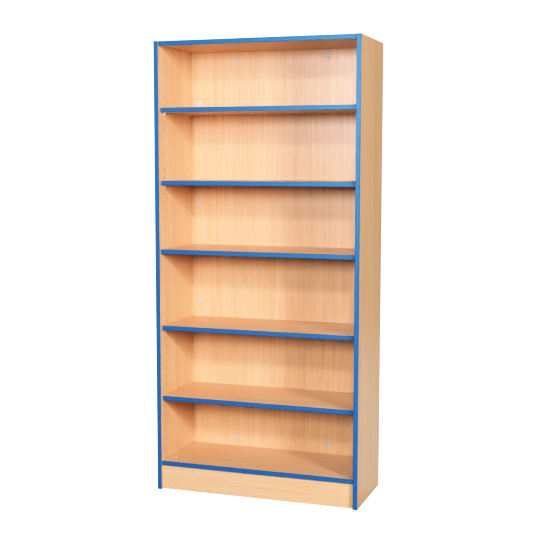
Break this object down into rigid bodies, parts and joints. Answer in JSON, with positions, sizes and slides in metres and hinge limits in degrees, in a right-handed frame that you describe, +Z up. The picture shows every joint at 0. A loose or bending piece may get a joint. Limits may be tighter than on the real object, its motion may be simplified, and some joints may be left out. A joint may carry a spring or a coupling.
{
  "type": "library bookcase",
  "caption": "Tall open bookcase of beech-faced board with blue lipped front edges, a fixed middle shelf, adjustable shelves on pegged supports and a plinth.",
  "frame": {"origin": "on the floor, under the middle of the case's width and depth", "axes": "+X to the right seen from the front, -Y out of the open front, +Z up"},
  "size_m": [0.84, 0.35, 1.8],
  "materials": {
    "beech_upright": "satin beech melamine, grain upright",
    "beech_along": "satin beech melamine, grain along the width",
    "blue_lipping": "satin blue plastic",
    "zinc_cam": "die-cast zinc",
    "steel_bolt": "zinc-plated steel",
    "nickel_support": "nickel-plated die casting",
    "dowel_wood": "bare beech"
  },
  "bodies": {
    "carcass": {"left_side_panel": "beech_upright", "right_side_panel": "beech_upright", "back_panel": "beech_upright", "top_panel": "beech_along", "base_panel": "beech_along", "middle_shelf": "beech_along", "plinth": "beech_along", "left_side_panel_lipping": "blue_lipping", "right_side_panel_lipping": "blue_lipping", "top_panel_lipping": "blue_lipping", "base_panel_lipping": "blue_lipping", "middle_shelf_lipping": "blue_lipping", "back_panel_cams": "zinc_cam", "back_panel_cam_bolts": "steel_bolt", "top_panel_cams": "zinc_cam", "top_panel_cam_bolts": "steel_bolt", "base_panel_cams": "zinc_cam", "base_panel_cam_bolts": "steel_bolt", "top_panel_dowels": "dowel_wood", "base_panel_dowels": "dowel_wood", "middle_shelf_dowels": "dowel_wood", "plinth_dowels": "dowel_wood", "shelf_1_supports": "nickel_support", "shelf_2_supports": "nickel_support", "shelf_3_supports": "nickel_support", "shelf_4_supports": "nickel_support"},
    "shelf_1": {"shelf_1": "beech_along", "shelf_1_lipping": "blue_lipping"},
    "shelf_2": {"shelf_2": "beech_along", "shelf_2_lipping": "blue_lipping"},
    "shelf_3": {"shelf_3": "beech_along", "shelf_3_lipping": "blue_lipping"},
    "shelf_4": {"shelf_4": "beech_along", "shelf_4_lipping": "blue_lipping"}
  },
  "joints": [
    {"name": "shelf_1_draw_out", "type": "slide", "parent": "carcass", "child": "shelf_1", "axis": [0, -1, 0], "range_m": [0, 0.335]},
    {"name": "shelf_2_draw_out", "type": "slide", "parent": "carcass", "child": "shelf_2", "axis": [0, -1, 0], "range_m": [0, 0.335]},
    {"name": "shelf_3_draw_out", "type": "slide", "parent": "carcass", "child": "shelf_3", "axis": [0, -1, 0], "range_m": [0, 0.335]},
    {"name": "shelf_4_draw_out", "type": "slide", "parent": "carcass", "child": "shelf_4", "axis": [0, -1, 0], "range_m": [0, 0.335]}
  ]
}
